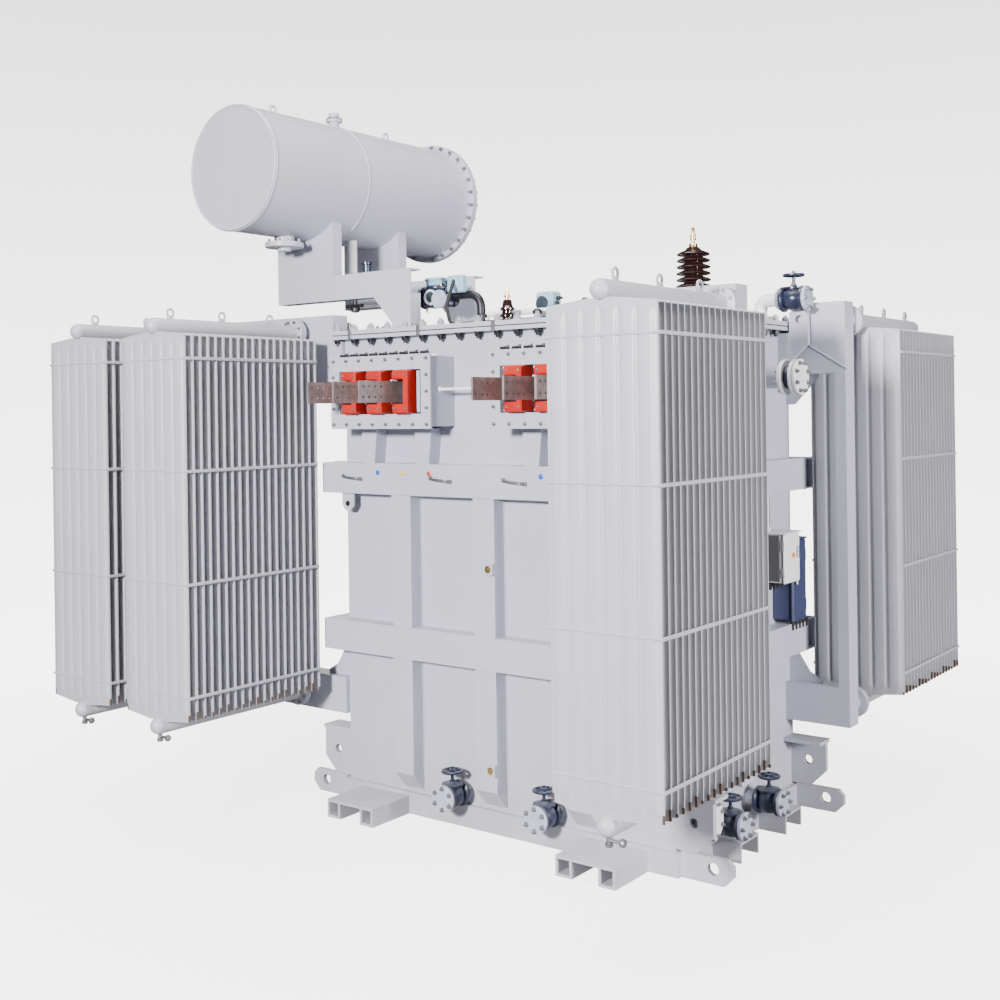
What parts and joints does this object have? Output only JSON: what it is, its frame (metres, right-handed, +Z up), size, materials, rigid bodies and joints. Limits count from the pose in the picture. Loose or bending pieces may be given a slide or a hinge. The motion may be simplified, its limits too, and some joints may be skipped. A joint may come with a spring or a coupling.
{
  "type": "oil-filled power transformer",
  "caption": "Oil-filled power transformer with panel radiators on header ducts, a raised conservator, boxed low-voltage bars and a skid base.",
  "frame": {"origin": "on the ground under the middle of the tank", "axes": "+X to the right along the low-voltage wall, +Y from that wall towards the back, +Z up"},
  "size_m": [4.013, 3.6598, 4.1335],
  "materials": {
    "grey_paint": "light grey industrial enamel",
    "radiator_paint": "light grey enamel over pressed sheet",
    "gasket_rubber": "brown cork-rubber, matt",
    "moulded_terminal": "red-orange moulded resin",
    "tinned_bar": "tinned flat bar",
    "valve_paint": "navy enamel on cast valve bodies",
    "blue_paint": "light blue enamel",
    "brown_porcelain": "dark brown glazed porcelain",
    "brass": "turned brass",
    "cabinet_paint": "dark blue enamel"
  },
  "bodies": {
    "root": {"back_ribs": "grey_paint", "base_frame": "grey_paint", "base_runners": "grey_paint", "busbars_left": "tinned_bar", "busbars_right": "tinned_bar", "bushing_turret": "grey_paint", "conservator_arms": "grey_paint", "conservator_cover": "grey_paint", "conservator_fittings": "grey_paint", "conservator_near_end": "grey_paint", "conservator_saddles": "grey_paint", "conservator_shell": "grey_paint", "control_cabinet": "cabinet_paint", "cover_gasket": "gasket_rubber", "cover_pipework": "grey_paint", "duct_columns": "grey_paint", "earth_pads": "grey_paint", "feet_back": "grey_paint", "feet_front": "grey_paint", "front_ribs": "grey_paint", "front_valves": "valve_paint", "haulage_lugs": "grey_paint", "high_voltage_bushing": "brown_porcelain", "high_voltage_stud": "brass", "jacking_lugs": "grey_paint", "lifting_lugs": "grey_paint", "lower_duct_back_left": "grey_paint", "lower_duct_back_right": "grey_paint", "lower_duct_front_left": "grey_paint", "lower_duct_front_right": "grey_paint", "lower_ring_beam": "grey_paint", "marshalling_box": "grey_paint", "neutral_bushing": "brown_porcelain", "oil_pipe_and_gas_relay": "grey_paint", "radiator_back_left_inner": "radiator_paint", "radiator_back_left_outer": "radiator_paint", "radiator_back_right": "radiator_paint", "radiator_front_left_inner": "radiator_paint", "radiator_front_left_outer": "radiator_paint", "radiator_front_right": "radiator_paint", "relay_heads": "blue_paint", "side_blind_flange": "grey_paint", "side_spool": "grey_paint", "side_valves": "valve_paint", "tank": "grey_paint", "tank_cover": "grey_paint", "tank_rim": "grey_paint", "terminal_box_left": "grey_paint", "terminal_box_right": "grey_paint", "terminal_gussets": "grey_paint", "terminal_plates_left": "moulded_terminal", "terminal_plates_right": "moulded_terminal", "top_valve": "valve_paint", "upper_duct_back_left": "grey_paint", "upper_duct_back_right": "grey_paint", "upper_duct_front_left": "grey_paint", "upper_duct_front_right": "grey_paint", "upper_ring_beam": "grey_paint"}
  },
  "joints": []
}
